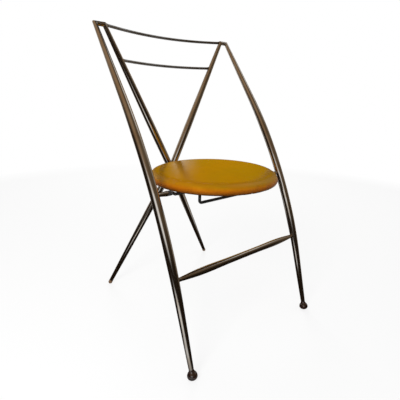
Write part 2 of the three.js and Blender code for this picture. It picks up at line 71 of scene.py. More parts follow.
# Straight, then an arc that touches both straights a tangent length from the corner, then straight.
def bentPath(start, corner, end, tangentLength, arcSteps, straightSteps):
    back, ahead = unit(start - corner), unit(end - corner)
    turn = math.pi - math.acos(float(back @ ahead))
    centre = corner + unit(back + ahead) * tangentLength / math.sin(turn / 2)
    arcStart = corner + back * tangentLength
    radius = np.linalg.norm(arcStart - centre)
    angles = np.linspace(0, turn, arcSteps)[:, None]
    arc = centre + radius * (np.cos(angles) * unit(arcStart - centre) - np.sin(angles) * back)
    before = np.linspace(start, arcStart, straightSteps)[:-1]
    after = np.linspace(arc[-1], end, straightSteps)[1:]
    return np.concatenate([before, arc, after])

def runLength(path):
    return np.concatenate([[0], np.cumsum(np.linalg.norm(np.diff(path, axis=0), axis=1))])

# Grows from the end radius over the taper length, then stays full. It is a little faster at first: a
# share s of the taper gives the share s (1 + b - b s) of the growth, with b the belly.
def taperedRadius(distance, taper, endRadius, fullRadius):
    share = np.clip(distance / taper, 0, 1)
    return endRadius + (fullRadius - endRadius) * share * (1 + taperBelly - taperBelly * share)

# A small weld or brazed fillet at a rod's end, which fades as exp(-distance / fade).
def filletRadius(distance, height):
    return height * np.exp(-np.maximum(distance, 0) / filletFade)

# Points round a unit circle in the plane of two directions.
def circle(across, upward, count):
    angles = np.arange(count) * 2 * math.pi / count
    return np.cos(angles)[:, None] * across[..., None, :] + np.sin(angles)[:, None] * upward[..., None, :]

# One ring round each path point, in the plane that halves the bend there: the circle of the arriving
# straight, slid along that straight onto the plane.
def sweptRings(path, radii, reference, count):
    directions = unit(np.diff(path, axis=0))
    arriving = np.vstack([directions[:1], directions])
    leaving = np.vstack([directions, directions[-1:]])
    normals = unit(arriving + leaving)
    across = unit(np.cross(arriving, reference))
    offsets = circle(across, np.cross(arriving, across), count) * np.reshape(radii, (-1, 1, 1))
    slide = np.einsum("rkc,rc->rk", offsets, normals) / np.einsum("rc,rc->r", arriving, normals)[:, None]
    return path[:, None, :] + (offsets - slide[:, :, None] * arriving[:, None, :])

# Adds a blind hole at the last end: a ring of the hole's radius on the end face, and one at its bottom.
def bored(rings, radius, depth):
    middle = rings[-1].mean(axis=0)
    inward = unit(rings[-2].mean(axis=0) - middle)
    mouth = middle + unit(rings[-1] - middle) * radius
    return np.concatenate([rings, mouth[None], (mouth + inward * depth)[None]])

# The same hole at the first end.
def boredStart(rings, radius, depth):
    return bored(rings[::-1], radius, depth)[::-1]

# A profile of radius and distance along the axis, turned round the axis.
def turnedRings(profile, origin, axis, count=ringPoints["turned"]):
    profile = np.asarray(profile, dtype=float)
    axis = unit(np.asarray(axis, dtype=float))
    helper = np.array([1.0, 0, 0]) if abs(axis[0]) < 0.7 else upright
    across = unit(np.cross(axis, helper))
    ring = circle(across, np.cross(axis, across), count)
    return origin + profile[:, 1][:, None, None] * axis + profile[:, 0][:, None, None] * ring[None]

# An arc of a profile about a middle, between two angles in quarter turns.
def quarterArc(middle, radius, first, last, count=6):
    angles = np.linspace(first, last, count) * math.pi / 2
    return np.stack([middle[0] + radius * np.cos(angles), middle[1] + radius * np.sin(angles)], axis=-1)

def linked(name, data):
    thing = bpy.data.objects.new(name, data)
    bpy.context.scene.collection.objects.link(thing)
    return thing

# Rings become a closed skin of quads. Open ends get a fan to their middle; a looped profile has none.
# The attribute alongTube holds the place round and along the piece, for patterns that follow it.
def skin(name, rings, looped=False, sharpAngle=sharp["tube"]):
    count, around = rings.shape[:2]
    rows = np.arange(count if looped else count - 1)
    spoke = np.arange(around)
    nextSpoke = (spoke + 1) % around
    a = rows[:, None] * around + spoke[None]
    b = rows[:, None] * around + nextSpoke[None]
    step = (((rows + 1) % count) - rows)[:, None] * around
    faces = np.stack([a, b, b + step, a + step], axis=-1).reshape(-1, 4).tolist()
    points = rings.reshape(-1, 3)
    centres = rings.mean(axis=1)
    if not looped:
        points = np.vstack([points, centres[[0, -1]]])
        first, last, top = count * around, count * around + 1, (count - 1) * around
        faces += np.stack([np.full(around, first), nextSpoke, spoke], axis=-1).tolist()
        faces += np.stack([np.full(around, last), spoke + top, nextSpoke + top], axis=-1).tolist()
    mesh = bpy.data.meshes.new(name)
    mesh.from_pydata(points.tolist(), [], faces)
    lengths = runLength(centres)
    angles = spoke * 2 * math.pi / around
    radius = np.linalg.norm(rings - centres[:, None], axis=-1)
    local = np.stack([np.cos(angles)[None] * radius, np.sin(angles)[None] * radius,
                      np.repeat(lengths[:, None], around, axis=1)], axis=-1).reshape(-1, 3)
    if not looped:
        local = np.vstack([local, [[0, 0, lengths[0]], [0, 0, lengths[-1]]]])
    mesh.attributes.new("alongTube", "FLOAT_VECTOR", "POINT").data.foreach_set("vector", local.ravel())
    mesh.validate()
    mesh.shade_smooth()
    mesh.set_sharp_from_angle(angle=math.radians(sharpAngle))
    return linked(name, mesh)

def softenEdges(piece, width, segments):
    bevel = piece.modifiers.new("softened edges", "BEVEL")
    bevel.width = width
    bevel.segments = segments
    bevel.limit_method = "ANGLE"
    bevel.angle_limit = math.radians(softEdge["angle"])
    bevel.harden_normals = True
    return piece

def paint(mesh, material):
    mesh.materials.clear()
    mesh.materials.append(material)

# Gives a piece its material and its body, and hides the node that it stands for.
def fit(piece, material, body, node):
    paint(piece.data, material)
    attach(piece, body)
    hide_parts(node)
    return piece

# Materials

class Tree:
    def __init__(self, tree):
        self.tree = tree

    # Sets inputs by name or number, each to a plain value or to what another node gives.
    def feed(self, node, inputs):
        for key, source in inputs.items():
            if hasattr(source, "is_output"):
                self.tree.links.new(source, node.inputs[key])
            else:
                node.inputs[key].default_value = source

    def node(self, kind, inputs=None, **settings):
        node = self.tree.nodes.new(kind)
        for key, setting in settings.items():
            setattr(node, key, setting)
        self.feed(node, inputs or {})
        return node

    def maths(self, operation, a, b=0.0, clamp=False):
        return self.node("ShaderNodeMath", {0: a, 1: b}, operation=operation, use_clamp=clamp).outputs[0]

    def times(self, a, b):
        return self.maths("MULTIPLY", a, b)

    def less(self, a, b):
        return self.maths("SUBTRACT", a, b)

    # Masks, each in its own strength, added to a base value.
    def summed(self, base, *parts):
        total = None
        for mask, strength in parts:
            part = self.times(mask, strength)
            total = part if total is None else self.maths("ADD", total, part)
        return self.maths("ADD", total, base, clamp=True)

    def ramp(self, source, low, high):
        inputs = {"Value": source, "From Min": low, "From Max": high}
        return self.node("ShaderNodeMapRange", inputs).outputs["Result"]

    def mix(self, factor, a, b):
        inputs = {"Factor": factor, "A": a, "B": b}
        return self.node("ShaderNodeMix", inputs, data_type="RGBA").outputs["Result"]

    def noise(self, vector, scale, detail=3.0, roughness=0.55):
        inputs = {"Vector": vector, "Scale": scale, "Detail": detail, "Roughness": roughness}
        return self.node("ShaderNodeTexNoise", inputs).outputs["Fac"]

    def cells(self, vector, scale, feature="F1"):
        inputs = {"Vector": vector, "Scale": scale}
        return self.node("ShaderNodeTexVoronoi", inputs, feature=feature).outputs["Distance"]

    def stretched(self, vector, scale):
        return self.node("ShaderNodeMapping", {"Vector": vector, "Scale": scale}).outputs["Vector"]

    def bump(self, height, strength, distance, normal=None):
        inputs = {"Height": height, "Strength": strength, "Distance": distance}
        if normal is not None:
            inputs["Normal"] = normal
        return self.node("ShaderNodeBump", inputs).outputs["Normal"]

    # One of the groups below, over a vector and with its own values in order.
    def mask(self, group, vector, *values):
        inputs = dict(enumerate([vector, *values]))
        return self.node("ShaderNodeGroup", inputs, node_tree=group).outputs["Mask"]

    # One for camera, glossy and transmission rays, which all see the background white.
    def seenWhite(self):
        rays = self.node("ShaderNodeLightPath").outputs
        seen = self.maths("MAXIMUM", rays["Is Camera Ray"], rays["Is Glossy Ray"])
        return self.maths("MAXIMUM", seen, rays["Is Transmission Ray"])

    # Ends a stage material: the given shader where the factor is 0, a glow where it is 1.
    def glowOver(self, factor, shader, colour):
        glow = self.node("ShaderNodeEmission", {"Color": colour})
        mixer = self.node("ShaderNodeMixShader", {"Fac": factor, 1: shader.outputs[0], 2: glow.outputs[0]})
        self.node("ShaderNodeOutputMaterial", {"Surface": mixer.outputs[0]})

# A node group that turns a vector and its named values into one mask.
def maskGroup(name, values, pattern):
    group = bpy.data.node_groups.new(name, "ShaderNodeTree")
    socket = group.interface.new_socket
    socket(name="Vector", in_out="INPUT", socket_type="NodeSocketVector")
    for label, default in values.items():
        socket(name=label, in_out="INPUT", socket_type="NodeSocketFloat").default_value = default
    socket(name="Mask", in_out="OUTPUT", socket_type="NodeSocketFloat")
    tree = Tree(group)
    given = tree.node("NodeGroupInput").outputs
    tree.node("NodeGroupOutput", {"Mask": pattern(tree, *[given[label] for label in ("Vector", *values)])})
    return group

patterns = {
    "finer": 7.0, "broadShare": 0.75, "stainContrast": 6.0, "speckContrast": 12.0, "patchScale": 35.0,
    "patchRange": (0.45, 0.65), "drawOut": 0.02, "streakRange": (0.3, 0.7),
}

# Cloudy stains: a large soft noise broken up by a finer one, cut to a soft edge.
def cloudy(tree, vector, scale, edge):
    broad = tree.noise(vector, scale, 4.0)
    fine = tree.noise(vector, tree.times(scale, patterns["finer"]))
    share = patterns["broadShare"]
    blend = tree.maths("ADD", tree.times(broad, share), tree.times(fine, 1 - share))
    return tree.summed(0.5, (tree.less(blend, edge), patterns["stainContrast"]))

# Fine specks: the cells of a scattered pattern that are nearest to their own centre, in patches.
def speckled(tree, vector, scale, size):
    near = tree.less(size, tree.cells(vector, scale))
    spots = tree.maths("MULTIPLY", near, patterns["speckContrast"], clamp=True)
    return tree.times(spots, tree.ramp(tree.noise(vector, patterns["patchScale"]), *patterns["patchRange"]))

# Lines that run along a piece: noise squeezed across it and drawn out along it.
def streaky(tree, vector, scale):
    drawn = tree.stretched(vector, (1.0, 1.0, patterns["drawOut"]))
    return tree.ramp(tree.noise(drawn, scale, 3.0, 0.6), *patterns["streakRange"])

stains = maskGroup("cloudy stains", {"Scale": 20.0, "Edge": 0.5}, cloudy)
specks = maskGroup("fine specks", {"Scale": 300.0, "Size": 0.2}, speckled)
streaks = maskGroup("polish streaks", {"Scale": 700.0}, streaky)

# A material, its nodes, its Principled shader and object coordinates.
def newMaterial(name):
    material = bpy.data.materials.new(name)
    material.use_nodes = True
    tree = Tree(material.node_tree)
    shader = material.node_tree.nodes["Principled BSDF"]
    return material, tree, shader, tree.node("ShaderNodeTexCoord").outputs["Object"]

# A material without nodes, for the stage.
def emptyMaterial(name):
    material = bpy.data.materials.new(name)
    material.use_nodes = True
    material.node_tree.nodes.clear()
    return material, Tree(material.node_tree)

chromeLook = {
    "clean": (0.68, 0.65, 0.61, 1), "stained": (0.58, 0.51, 0.43, 1), "lineColour": (0.45, 0.39, 0.32, 1),
    "pitColour": (0.10, 0.06, 0.035, 1), "edgeTint": (0.55, 0.50, 0.45, 1),
    "stainScale": 22.0, "stainEdge": 0.5, "pitScale": 420.0, "pitSize": 0.16, "lineScale": 700.0,
    "roughness": 0.06, "stainRoughness": 0.05, "lineRoughness": 0.04, "pitRoughness": 0.4,
    "lineShade": 0.25, "lineBump": 0.08, "lineDepth": 0.00004, "pitBump": -0.2, "pitDepth": 0.0001,
}
# The rails' chrome: the polished chrome with darker colours and fainter polish lines.
railLook = {**chromeLook, "clean": (0.50, 0.51, 0.52, 1), "stained": (0.36, 0.35, 0.33, 1), "lineShade": 0.1}

# Chrome: tarnish in clouds, polish lines along the tube and a few brown pits.
def chromeMaterial(name, look):
    material, tree, shader, coordinates = newMaterial(name)
    along = tree.node("ShaderNodeAttribute", attribute_name="alongTube").outputs["Vector"]
    tarnish = tree.mask(stains, coordinates, look["stainScale"], look["stainEdge"])
    pits = tree.mask(specks, coordinates, look["pitScale"], look["pitSize"])
    lines = tree.mask(streaks, along, look["lineScale"])
    colour = tree.mix(tarnish, look["clean"], look["stained"])
    colour = tree.mix(tree.times(lines, look["lineShade"]), colour, look["lineColour"])
    normal = tree.bump(lines, look["lineBump"], look["lineDepth"])
    tree.feed(shader, {
        "Base Color": tree.mix(pits, colour, look["pitColour"]), "Metallic": 1.0,
        "Roughness": tree.summed(look["roughness"], (tarnish, look["stainRoughness"]),
                                 (lines, look["lineRoughness"]), (pits, look["pitRoughness"])),
        "Specular Tint": look["edgeTint"],
        "Normal": tree.bump(pits, look["pitBump"], look["pitDepth"], normal)})
    return material

zincLook = {
    "fresh": (0.62, 0.62, 0.60, 1), "dull": (0.42, 0.41, 0.38, 1), "dullScale": 90.0, "dullEdge": 0.5,
    "roughness": 0.28, "dullRoughness": 0.2, "dullBump": 0.2, "depth": 0.0001,
}

def zincMaterial(look):
    material, tree, shader, coordinates = newMaterial("zinc plate")
    dull = tree.mask(stains, coordinates, look["dullScale"], look["dullEdge"])
    tree.feed(shader, {
        "Base Color": tree.mix(dull, look["fresh"], look["dull"]), "Metallic": 1.0,
        "Roughness": tree.summed(look["roughness"], (dull, look["dullRoughness"])),
        "Normal": tree.bump(dull, look["dullBump"], look["depth"])})
    return material

blackLook = {
    "paint": (0.016, 0.015, 0.014, 1), "worn": (0.055, 0.045, 0.036, 1), "bare": (0.28, 0.24, 0.20, 1),
    "wearScale": 60.0, "wearEdge": 0.58, "chipScale": 260.0, "chipSize": 0.2, "roughness": 0.33,
    "wearRoughness": 0.2, "grainScale": 900.0, "grainBump": 0.15, "chipBump": -0.5, "depth": 0.0001,
}

def blackSteelMaterial(look):
    material, tree, shader, coordinates = newMaterial("black paint")
    rubbed = tree.mask(stains, coordinates, look["wearScale"], look["wearEdge"])
    chips = tree.mask(specks, coordinates, look["chipScale"], look["chipSize"])
    grain = tree.bump(tree.noise(coordinates, look["grainScale"], 2.0), look["grainBump"], look["depth"])
    tree.feed(shader, {
        "Base Color": tree.mix(chips, tree.mix(rubbed, look["paint"], look["worn"]), look["bare"]),
        "Roughness": tree.summed(look["roughness"], (rubbed, look["wearRoughness"])),
        "Normal": tree.bump(chips, look["chipBump"], look["depth"], grain)})
    return material

matt = {"scuffRoughness": 0.22, "gloss": 0.5, "coat": 0.0}
plasticLooks = {
    "brown plastic": {"colour": (0.014, 0.0055, 0.004, 1), "scuffed": (0.04, 0.02, 0.014, 1),
                      "roughness": 0.06, "scuffRoughness": 0.05, "gloss": 1.0, "coat": 1.0},
    "tan plastic": {"colour": (0.16, 0.085, 0.04, 1), "scuffed": (0.26, 0.17, 0.10, 1),
                    "roughness": 0.38, **matt},
    "black plastic": {"colour": (0.022, 0.021, 0.020, 1), "scuffed": (0.06, 0.058, 0.054, 1),
                      "roughness": 0.42, **matt},
}
mould = {"scuffScale": 110.0, "scuffEdge": 0.55, "grain": 1500.0, "bump": 0.12, "depth": 0.0001,
         "coatRoughness": 0.05}

def plasticMaterial(name):
    look = plasticLooks[name]
    material, tree, shader, coordinates = newMaterial(name)
    scuffs = tree.mask(stains, coordinates, mould["scuffScale"], mould["scuffEdge"])
    tree.feed(shader, {
        "Base Color": tree.mix(scuffs, look["colour"], look["scuffed"]),
        "Roughness": tree.summed(look["roughness"], (scuffs, look["scuffRoughness"])),
        "Specular IOR Level": look["gloss"], "Coat Weight": look["coat"],
        "Coat Roughness": mould["coatRoughness"],
        "Normal": tree.bump(tree.noise(coordinates, mould["grain"], 2.0), mould["bump"], mould["depth"])})
    return material

boardLook = {
    "pale": (0.060, 0.034, 0.018, 1), "dark": (0.115, 0.068, 0.036, 1), "soil": (0.035, 0.024, 0.016, 1),
    "grainScales": (6.0, 90.0, 90.0), "fibreScales": (60.0, 900.0, 300.0), "grainRange": (0.35, 0.65),
    "soilScale": 14.0, "soilEdge": 0.52, "soilShade": 0.5, "roughness": 0.55, "grainRoughness": 0.15,
    "fibreBump": 0.25, "fibreDepth": 0.0002,
}

def boardMaterial(look):
    material, tree, shader, coordinates = newMaterial("stained plywood")
    grain = tree.noise(tree.stretched(coordinates, look["grainScales"]), 1.0, 5.0, 0.65)
    grain = tree.ramp(grain, *look["grainRange"])
    fibres = tree.noise(tree.stretched(coordinates, look["fibreScales"]), 1.0)
    soiled = tree.mask(stains, coordinates, look["soilScale"], look["soilEdge"])
    colour = tree.mix(grain, look["pale"], look["dark"])
    tree.feed(shader, {
        "Base Color": tree.mix(tree.times(soiled, look["soilShade"]), colour, look["soil"]),
        "Roughness": tree.summed(look["roughness"], (grain, look["grainRoughness"])),
        "Normal": tree.bump(fibres, look["fibreBump"], look["fibreDepth"])})
    return material

# Leather: a field colour that drifts between ochre and olive, a side that is painted a deeper orange as
# shade, with a painted shadow going dark brown towards its lower edge, worn patches on it, a pebbled grain
# of small cells with folds between them, and a few wrinkles whose folds are painted darker as shade.
def leatherMaterial(look, centre):
    material, tree, shader, coordinates = newMaterial("yellow leather")
    moved = tree.node("ShaderNodeVectorMath", {0: coordinates, 1: centre}, operation="SUBTRACT")
    local = moved.outputs["Vector"]
    height = tree.node("ShaderNodeSeparateXYZ", {0: local}).outputs["Z"]
    drift = tree.mask(stains, local, look["driftScale"], 0.5)
    colour = tree.mix(drift, look["ochre"], look["olive"])
    mottle = tree.ramp(tree.noise(local, look["mottleScale"], 4.0), *look["mottleRange"])
    colour = tree.mix(tree.times(mottle, look["mottleShade"]), colour, look["amber"])
    # Painted shade: the side, below the top's rounded edge, is coloured a deeper orange than the top, for
    # how the light falls on it.
    rim = tree.ramp(height, look["rimTop"], look["rimBottom"])
    colour = tree.mix(rim, colour, look["rim"])
    rubbedRim = tree.times(tree.mask(stains, local, look["rubScale"], look["rubEdge"]), rim)
    colour = tree.mix(tree.times(rubbedRim, look["rubShade"]), colour, look["rimWorn"])
    # Painted shadow: the colour goes dark brown towards the lower edge, where the side curves under.
    colour = tree.mix(tree.ramp(height, look["hemTop"], look["hemBottom"]), colour, look["hem"])

    # The cells' place wanders a little, so that they aren't alike.
    small = tree.times(tree.noise(local, look["wanderScale"], 2.0), look["wander"])
    shift = tree.node("ShaderNodeCombineXYZ", {"X": small, "Y": small}).outputs[0]
    bent = tree.node("ShaderNodeVectorMath", {0: local, 1: shift}, operation="ADD").outputs["Vector"]
    pebble = tree.ramp(tree.cells(bent, look["grainScale"], "DISTANCE_TO_EDGE"), 0.0, look["grainEdge"])
    valley = tree.less(1.0, pebble)

    # A wrinkle lies where a drawn out noise crosses its middle value, mostly on the rim.
    wrinkle = tree.noise(tree.stretched(local, look["wrinkleScales"]), 1.0, 4.0, 0.6)
    offMiddle = tree.maths("ABSOLUTE", tree.less(wrinkle, 0.5))
    fold = tree.less(1.0, tree.ramp(offMiddle, 0.0, look["wrinkleWidth"]))
    fold = tree.times(fold, tree.summed(look["topWrinkles"], (rim, look["rimWrinkles"])))

    edge = tree.ramp(height, look["edgeTop"], look["edgeBottom"])
    normal = tree.bump(pebble, look["grainBump"], look["grainDepth"])
    tree.feed(shader, {
        # Painted shade: the wrinkles' folds are coloured darker, in the worn colour of the rim.
        "Base Color": tree.mix(tree.times(fold, look["wrinkleShade"]), colour, look["rimWorn"]),
        "Roughness": tree.summed(look["roughness"], (valley, look["valleyRoughness"]),
                                 (mottle, look["mottleRoughness"]), (rubbedRim, look["rubRoughness"]),
                                 (edge, look["edgeRoughness"])),
        "Specular IOR Level": look["gloss"], "Specular Tint": look["shine"],
        "Normal": tree.bump(fold, look["wrinkleBump"], look["wrinkleDepth"], normal)})
    return material

chrome, railChrome = chromeMaterial("polished chrome", chromeLook), chromeMaterial("dull chrome", railLook)
zinc, blackSteel, board = zincMaterial(zincLook), blackSteelMaterial(blackLook), boardMaterial(boardLook)
brownPlastic, tanPlastic, blackPlastic = [plasticMaterial(name) for name in plasticLooks]
print("materials made")

# Front frame

pin = {"bore": 0.0033, "boreDepth": 0.010}
legs = {
    "topHalfWidth": 0.234, "kneeHalfWidth": 0.231, "kneeDepth": 0.134, "kneeHeight": 0.441,
    "footHalfWidth": 0.227, "ballHeight": 0.0096, "tangentLength": 0.272, "neckLength": 0.017,
    "midRadius": 0.0114, "topRadius": 0.0059, "footRadius": 0.006, "topTaper": 0.345, "footTaper": 0.290,
    "bendSteps": 60, "straightSteps": 24,
}

def legCorners(side):
    return (place(side * legs["footHalfWidth"], 0, legs["ballHeight"]),
            place(side * legs["kneeHalfWidth"], legs["kneeDepth"], legs["kneeHeight"]),
            place(side * legs["topHalfWidth"], chair["hingeDepth"], chair["hingeHeight"]))

def legPath(side):
    foot, knee, top = legCorners(side)
    ankle = foot + unit(knee - foot) * legs["neckLength"]
    return bentPath(ankle, knee, top, legs["tangentLength"], legs["bendSteps"], legs["straightSteps"])

# Half width and depth of the leg's middle line at a height.
def legAt(height):
    path = legPath(1)
    return (np.interp(height, path[:, 2], path[:, 0]),
            np.interp(height, path[:, 2], path[:, 1]) - frontFeetDepth)

# The leg swells from both ends to its middle, and at the top a mitred elbow turns it to the hinge.
def makeLeg(label, side):
    path = legPath(side)
    lengths = runLength(path)
    fromFoot, fromTop, full = lengths + legs["neckLength"], lengths[-1] - lengths, legs["midRadius"]
    radii = np.minimum(taperedRadius(fromFoot, legs["footTaper"], legs["footRadius"], full),
                       taperedRadius(fromTop, legs["topTaper"], legs["topRadius"], full))
    jointAcross = side * (chair["jointHalfWidth"] + chair["jointGap"])
    path = np.vstack([path, place(jointAcross, chair["hingeDepth"], chair["hingeHeight"])])
    radii = np.append(radii, legs["topRadius"])
    elbow = np.cross(path[-2] - path[-3], path[-1] - path[-2])
    rings = bored(sweptRings(path, radii, elbow, ringPoints["tube"]), pin["bore"], pin["boreDepth"])
    piece = softenEdges(skin("frontLeg" + label, rings), *softEdge["tube"])
    fit(piece, chrome, "front_frame", "front_leg_" + label.lower())

feet = {
    "radius": 0.013, "lowerLength": 0.010, "upperLength": 0.013, "neckAngle": math.radians(42), "rings": 36,
    "tipAngle": 0.02, "neckLap": 0.0002, "neckRings": 8, "lipRise": 0.0004, "lipRadius": 0.003,
}

# A ball about the leg's axis, flatter below its middle than above, whose neck narrows to the leg as a
# quarter sine, pressed flat where it meets the floor.
def makeFoot(label, side):
    foot, knee = legCorners(side)[:2]
    angles = np.linspace(math.pi - feet["tipAngle"], feet["neckAngle"], feet["rings"])
    halfLength = np.where(np.cos(angles) < 0, feet["lowerLength"], feet["upperLength"])
    ball = np.stack([np.sin(angles) * feet["radius"], np.cos(angles) * halfLength], axis=-1)
    share = np.linspace(0, 1, feet["neckRings"])[1:]
    neck = np.stack([
        ball[-1, 0] + (legs["footRadius"] + feet["neckLap"] - ball[-1, 0]) * np.sin(share * math.pi / 2),
        ball[-1, 1] + (legs["neckLength"] - ball[-1, 1]) * share], axis=-1)
    lipHeight = legs["neckLength"] + feet["lipRise"]
    lip = [(legs["footRadius"], lipHeight), (feet["lipRadius"], lipHeight)]
    rings = turnedRings(np.vstack([ball, neck, lip]), foot, knee - foot, ringPoints["tube"])
    rings[..., 2] = np.maximum(rings[..., 2], 0)
    piece = skin("frontFoot" + label, rings, sharpAngle=sharp["turned"])
    fit(piece, brownPlastic, "front_frame", "front_foot_" + label.lower())

spindle = {
    "height": 0.2355, "midRadius": 0.0082, "endRadius": 0.0047, "taper": 0.070, "fillet": 0.0009,
    "swell": 0.0011, "swellAt": 0.092, "swellSpread": 0.045, "rings": 161, "crowding": 1.25,
}

# The radius rises as a quarter sine over the taper, swells a little as a bell curve some way in from each
# leg, and ends in a small brazed fillet. The rings crowd towards the ends.
def makeStretcher():
    halfWidth, depth = legAt(spindle["height"])
    across = np.linspace(-1, 1, spindle["rings"])
    across = np.sign(across) * (1 - (1 - np.abs(across)) ** spindle["crowding"])
    path = place(0, depth, spindle["height"]) + np.outer(across * halfWidth, [1, 0, 0])
    distance = halfWidth - legs["midRadius"] - np.abs(path[:, 0])
    share = np.clip(distance / spindle["taper"], 0, 1)
    thin = spindle["endRadius"]
    radii = thin + (spindle["midRadius"] - thin) * np.sin(share * math.pi / 2)
    radii += spindle["swell"] * np.exp(-((distance - spindle["swellAt"]) / spindle["swellSpread"]) ** 2)
    radii += filletRadius(distance, spindle["fillet"])
    piece = skin("legStretcher", sweptRings(path, radii, upright, ringPoints["tube"]))
    fit(piece, chrome, "front_frame", "stretcher")

rod = {
    "radius": 0.0041, "height": 0.4211, "stubRise": 0.0053, "stubLength": 0.0235, "stubRoot": 0.0047,
    "stubFace": 0.0070, "inStub": 0.0087, "slope": 0.009, "slopeBend": 0.002, "gap": 0.0003,
    "bushRadius": 0.0066, "bushLength": 0.0125, "bushEdge": 0.0009, "bushChamfer": (0.0003, 0.0004),
    "bowHalfWidth": 0.094, "bowDrop": 0.038, "bowBend": 0.007, "bendSteps": 12, "straightSteps": 3,
}
# The stub's profile, as radius and distance: the weld from its root at the leg's surface, the rim from the
# edge of its face, and the socket from the rod's radius at the face.
stub = {
    "inLeg": 0.003, "rootCore": 0.0015, "weld": [(0.0008, -0.001), (0.0003, 0.001), (0.0002, 0.003)],
    "rim": [(-0.0001, -0.0012), (-0.0001, -0.0006), (-0.0004, -0.0001), (-0.0008, 0)],
    "socket": [(0.0009, 0), (0.0004, -0.0005), (0.0003, -0.004), (0.0003, -0.009)], "socketCore": 0.0005,
}
stubHeight = rod["height"] + rod["stubRise"]
stubHalfWidth, rodDepth = legAt(stubHeight)
stubFace = stubHalfWidth - legs["midRadius"] - rod["stubLength"]

# A cone from inside the leg to its face, with a weld, a rounded rim and a socket that the rod enters.
def makeStub(label, side):
    length = legs["midRadius"] + rod["stubLength"]
    socket = np.add((rod["radius"], length), stub["socket"])
    profile = np.vstack([
        (stub["rootCore"], stub["inLeg"]), (rod["stubRoot"], stub["inLeg"]),
        np.add((rod["stubRoot"], legs["midRadius"]), stub["weld"]),
        np.add((rod["stubFace"], length), stub["rim"]), socket, (stub["socketCore"], socket[-1, 1])])
    rings = turnedRings(profile, place(side * stubHalfWidth, rodDepth, stubHeight), (-side, 0, 0))
    piece = skin("rodStub" + label, rings, sharpAngle=sharp["turned"])
    fit(piece, chrome, "front_frame", "rod_stub_" + label.lower())

# A ring round the rod beside the stub. Its outer edges are quarter circles and its bore is chamfered.
def makeBush(label, side):
    bore, length, edge = rod["radius"] + rod["gap"], rod["bushLength"], rod["bushEdge"]
    outer = rod["bushRadius"] - edge
    wider, deep = rod["bushChamfer"]
    profile = np.vstack([
        (bore, deep), (bore + wider, 0), quarterArc((outer, edge), edge, -1, 0),
        quarterArc((outer, length - edge), edge, 0, 1), (bore + wider, length), (bore, length - deep)])
    start = place(side * (stubFace - rod["gap"]), rodDepth, stubHeight)
    rings = turnedRings(profile, start, (-side, 0, 0))
    piece = skin("rodBush" + label, rings, looped=True, sharpAngle=sharp["turned"])
    fit(piece, blackPlastic, "front_frame", "rod_bush_" + label.lower())

# The corners of the rod, each rounded by an arc; all bends lie in one upright plane.
def makeRod():
    slopeStart = stubFace - rod["gap"] - rod["bushLength"] - rod["slopeBend"]
    half = [(stubFace + rod["inStub"], stubHeight), (slopeStart, stubHeight),
            (slopeStart - rod["slope"], rod["height"]), (rod["bowHalfWidth"], rod["height"]),
            (rod["bowHalfWidth"], rod["height"] - rod["bowDrop"])]
    corners = [place(-x, rodDepth, z) for x, z in half] + [place(x, rodDepth, z) for x, z in reversed(half)]
    bends = [rod["slopeBend"]] * 2 + [rod["bowBend"]] * 4 + [rod["slopeBend"]] * 2
    parts = []
    for i, bend in enumerate(bends):
        start = corners[0] if i == 0 else (corners[i] + corners[i + 1]) / 2
        end = corners[-1] if i == len(bends) - 1 else (corners[i + 1] + corners[i + 2]) / 2
        part = bentPath(start, corners[i + 1], end, bend, rod["bendSteps"], rod["straightSteps"])
        parts.append(part[0 if i == 0 else 1:])
    path = np.concatenate(parts)
    rings = sweptRings(path, np.full(len(path), rod["radius"]), backward, ringPoints["rod"])
    piece = softenEdges(skin("seatRod", rings), *softEdge["rod"])
    fit(piece, blackSteel, "front_frame", "seat_rod")

for label, side in sides.items():
    makeLeg(label, side)
    makeFoot(label, side)
    makeStub(label, side)
    makeBush(label, side)
makeStretcher()
makeRod()
print("front frame made")

# Rear frame

rear = {
    "topHalfWidth": 0.2085, "footHalfWidth": 0.222, "footSplay": 0.076, "bend": 0.014,
    "midRadius": 0.0112, "topRadius": 0.0059, "footRadius": 0.0061, "topTaper": 0.310, "footTaper": 0.345,
    "weldShare": 0.6, "bendSteps": 24, "straightSteps": 50, "halfSteps": 60,
}
plugs = {
    "radius": 0.0067, "flat": 0.0006, "headLength": 0.007, "edge": 0.0006, "tipAngle": 0.03, "headRings": 16,
    "stemRadius": 0.0043, "stemLength": 0.010, "gap": 0.0003,
    "stemRoot": [(0.0002, 0), (0, 0.0003)], "stemTip": [(0, -0.001), (-0.0007, -0.0002)],
}
crossing = place(0, chair["crossingDepth"], chair["crossingHeight"])

def rearTop(side):
    return place(side * rear["topHalfWidth"], chair["hingeDepth"], chair["hingeHeight"])

def rearFoot(side):
    return place(side * rear["footHalfWidth"], chair["crossingDepth"] + rear["footSplay"], 0)

def rearFootUp(side):
    return unit(crossing - rearFoot(side))

# The middle of the plug's round head, and the tube's end above it.
def plugMiddle(side):
    upward = rearFootUp(side)
    return rearFoot(side) + upward * (plugs["radius"] - plugs["flat"]) / upward[2]

def rearTubeEnd(side):
    return plugMiddle(side) + rearFootUp(side) * (plugs["headLength"] + plugs["gap"])

# Tapers towards the top and the foot that lie on the same side of the chair as the point.
def rearRadii(path):
    mirror = np.where(path[:, :1] < 0, [[-1, 1, 1]], [[1, 1, 1]])
    fromTop = np.linalg.norm(path - rearTop(1) * mirror, axis=1)
    fromFoot = np.linalg.norm(path - rearFoot(1) * mirror, axis=1)
    upper = taperedRadius(fromTop, rear["topTaper"], rear["topRadius"], rear["midRadius"])
    lower = taperedRadius(fromFoot, rear["footTaper"], rear["footRadius"], rear["midRadius"])
    return np.where(path[:, 2] > chair["crossingHeight"], upper, lower)

